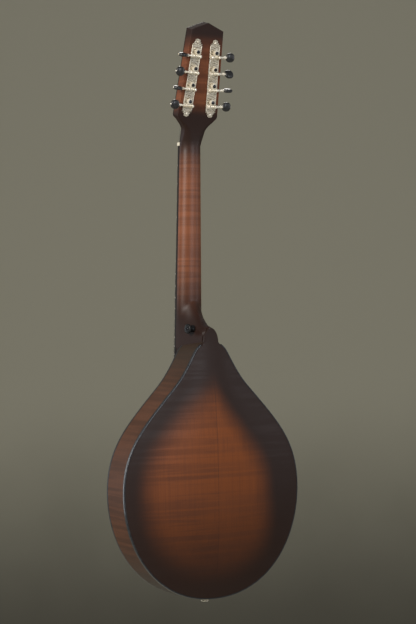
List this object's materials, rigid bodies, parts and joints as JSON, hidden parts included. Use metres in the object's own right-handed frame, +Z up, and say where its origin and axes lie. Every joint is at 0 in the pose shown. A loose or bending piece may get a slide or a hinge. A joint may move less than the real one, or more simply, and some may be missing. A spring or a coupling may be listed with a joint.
{
  "type": "octave mandolin",
  "caption": "Carved pear-shaped octave mandolin with worm-geared tuners, f-holes, adjustable bridge, tailpiece and paired strings on a set neck.",
  "frame": {"origin": "at the nut's fingerboard side on the centre line, 10.5 mm behind the fingerboard's face, inside the neck where a wall hanger's yoke holds it", "axes": "+Z up the neck to the headstock's peak, +Y out of the back, +X to the treble side; the instrument hangs upright with its strings facing -Y"},
  "size_m": [0.2896, 0.1052, 0.8416],
  "materials": {
    "burst_maple": "gloss tobacco sunburst lacquer over flamed maple",
    "rib_maple": "gloss dark lacquer over flamed maple",
    "neck_maple": "gloss dark orange-brown lacquer",
    "spruce": "gloss sunburst lacquer over spruce",
    "raw_spruce": "bare",
    "mahogany": "bare",
    "black_binding": "gloss",
    "ebony": "satin",
    "bone": "polished",
    "nickel": "worn nickel plate",
    "steel": "polished",
    "brass": "polished",
    "bronze_wire": "wound bronze over steel",
    "black_button": "gloss"
  },
  "bodies": {
    "mandolin": {"back_plate": "burst_maple", "top_plate": "spruce", "rib_treble": "rib_maple", "rib_bass": "rib_maple", "back_binding": "black_binding", "top_binding": "black_binding", "head_block": "mahogany", "tail_block": "mahogany", "back_lining": "mahogany", "top_lining": "mahogany", "tone_bar_treble": "raw_spruce", "tone_bar_bass": "raw_spruce", "neck": "neck_maple", "fingerboard": "ebony", "nut": "bone", "head_veneer": "ebony", "truss_rod": "steel", "truss_rod_cover": "ebony", "bridge_base": "ebony", "tailpiece": "nickel", "tailpiece_cover": "nickel", "end_pin": "nickel", "strap_button": "black_button", "tuner_plate_treble": "nickel", "tuner_plate_bass": "nickel", "string_e1": "steel", "string_e2": "steel", "string_a1": "steel", "string_a2": "steel", "string_g1": "bronze_wire", "string_g2": "bronze_wire", "string_d1": "bronze_wire", "string_d2": "bronze_wire"},
    "tuner_e1": {"tuner_button_e1": "black_button", "worm_shaft_e1": "steel"},
    "post_e1": {"gear_post_e1": "steel"},
    "tuner_e2": {"tuner_button_e2": "black_button", "worm_shaft_e2": "steel"},
    "post_e2": {"gear_post_e2": "steel"},
    "tuner_a1": {"tuner_button_a1": "black_button", "worm_shaft_a1": "steel"},
    "post_a1": {"gear_post_a1": "steel"},
    "tuner_a2": {"tuner_button_a2": "black_button", "worm_shaft_a2": "steel"},
    "post_a2": {"gear_post_a2": "steel"},
    "tuner_g1": {"tuner_button_g1": "black_button", "worm_shaft_g1": "steel"},
    "post_g1": {"gear_post_g1": "steel"},
    "tuner_g2": {"tuner_button_g2": "black_button", "worm_shaft_g2": "steel"},
    "post_g2": {"gear_post_g2": "steel"},
    "tuner_d1": {"tuner_button_d1": "black_button", "worm_shaft_d1": "steel"},
    "post_d1": {"gear_post_d1": "steel"},
    "tuner_d2": {"tuner_button_d2": "black_button", "worm_shaft_d2": "steel"},
    "post_d2": {"gear_post_d2": "steel"},
    "saddle": {"bridge_saddle": "ebony"},
    "wheel_treble": {"bridge_wheel_treble": "brass"},
    "wheel_bass": {"bridge_wheel_bass": "brass"}
  },
  "joints": [
    {"name": "turn_e1", "type": "hinge", "parent": "mandolin", "child": "tuner_e1", "pos_m": [0.01919, 0.03158, 0.05424], "axis": [0.9988, 0.013, 0.0476], "continuous": true},
    {"name": "wind_e1", "type": "hinge", "parent": "mandolin", "child": "post_e1", "pos_m": [0.01888, 0.03322, 0.06026], "axis": [0, 0.9646, -0.2639], "continuous": true},
    {"name": "turn_e2", "type": "hinge", "parent": "mandolin", "child": "tuner_e2", "pos_m": [0.018, 0.0379, 0.07736], "axis": [0.9988, 0.013, 0.0476], "continuous": true},
    {"name": "wind_e2", "type": "hinge", "parent": "mandolin", "child": "post_e2", "pos_m": [0.01769, 0.03955, 0.08338], "axis": [0, 0.9646, -0.2639], "continuous": true},
    {"name": "turn_a1", "type": "hinge", "parent": "mandolin", "child": "tuner_a1", "pos_m": [0.01682, 0.04423, 0.10048], "axis": [0.9988, 0.013, 0.0476], "continuous": true},
    {"name": "wind_a1", "type": "hinge", "parent": "mandolin", "child": "post_a1", "pos_m": [0.01651, 0.04587, 0.1065], "axis": [0, 0.9646, -0.2639], "continuous": true},
    {"name": "turn_a2", "type": "hinge", "parent": "mandolin", "child": "tuner_a2", "pos_m": [0.01563, 0.05055, 0.1236], "axis": [0.9988, 0.013, 0.0476], "continuous": true},
    {"name": "wind_a2", "type": "hinge", "parent": "mandolin", "child": "post_a2", "pos_m": [0.01532, 0.0522, 0.12962], "axis": [0, 0.9646, -0.2639], "continuous": true},
    {"name": "turn_g1", "type": "hinge", "parent": "mandolin", "child": "tuner_g1", "pos_m": [-0.01919, 0.03158, 0.05424], "axis": [0.9988, -0.013, -0.0476], "continuous": true},
    {"name": "wind_g1", "type": "hinge", "parent": "mandolin", "child": "post_g1", "pos_m": [-0.01888, 0.03322, 0.06026], "axis": [0, 0.9646, -0.2639], "continuous": true},
    {"name": "turn_g2", "type": "hinge", "parent": "mandolin", "child": "tuner_g2", "pos_m": [-0.018, 0.0379, 0.07736], "axis": [0.9988, -0.013, -0.0476], "continuous": true},
    {"name": "wind_g2", "type": "hinge", "parent": "mandolin", "child": "post_g2", "pos_m": [-0.01769, 0.03955, 0.08338], "axis": [0, 0.9646, -0.2639], "continuous": true},
    {"name": "turn_d1", "type": "hinge", "parent": "mandolin", "child": "tuner_d1", "pos_m": [-0.01682, 0.04423, 0.10048], "axis": [0.9988, -0.013, -0.0476], "continuous": true},
    {"name": "wind_d1", "type": "hinge", "parent": "mandolin", "child": "post_d1", "pos_m": [-0.01651, 0.04587, 0.1065], "axis": [0, 0.9646, -0.2639], "continuous": true},
    {"name": "turn_d2", "type": "hinge", "parent": "mandolin", "child": "tuner_d2", "pos_m": [-0.01563, 0.05055, 0.1236], "axis": [0.9988, -0.013, -0.0476], "continuous": true},
    {"name": "wind_d2", "type": "hinge", "parent": "mandolin", "child": "post_d2", "pos_m": [-0.01532, 0.0522, 0.12962], "axis": [0, 0.9646, -0.2639], "continuous": true},
    {"name": "saddle_lift", "type": "slide", "parent": "mandolin", "child": "saddle", "axis": [0, -1, 0], "range_m": [-0.0015, 0.0015], "deforming": ["string_e1", "string_e2", "string_a1", "string_a2", "string_g1", "string_g2", "string_d1", "string_d2"]},
    {"name": "wheel_turn_treble", "type": "hinge", "parent": "saddle", "child": "wheel_treble", "pos_m": [0.027, -0.02807, -0.50755], "axis": [0, -1, 0], "range_deg": [-775, 775]},
    {"name": "wheel_turn_bass", "type": "hinge", "parent": "saddle", "child": "wheel_bass", "pos_m": [-0.027, -0.02807, -0.50755], "axis": [0, -1, 0], "range_deg": [-775, 775]}
  ],
  "couplings": [
    {"joint": "wind_e1", "follows": "turn_e1", "ratio": 0.071429},
    {"joint": "wind_e2", "follows": "turn_e2", "ratio": 0.071429},
    {"joint": "wind_a1", "follows": "turn_a1", "ratio": 0.071429},
    {"joint": "wind_a2", "follows": "turn_a2", "ratio": 0.071429},
    {"joint": "wind_g1", "follows": "turn_g1", "ratio": 0.071429},
    {"joint": "wind_g2", "follows": "turn_g2", "ratio": 0.071429},
    {"joint": "wind_d1", "follows": "turn_d1", "ratio": 0.071429},
    {"joint": "wind_d2", "follows": "turn_d2", "ratio": 0.071429},
    {"joint": "wheel_turn_treble", "follows": "saddle_lift", "rad_per_m": 8976},
    {"joint": "wheel_turn_bass", "follows": "saddle_lift", "rad_per_m": 8976}
  ]
}
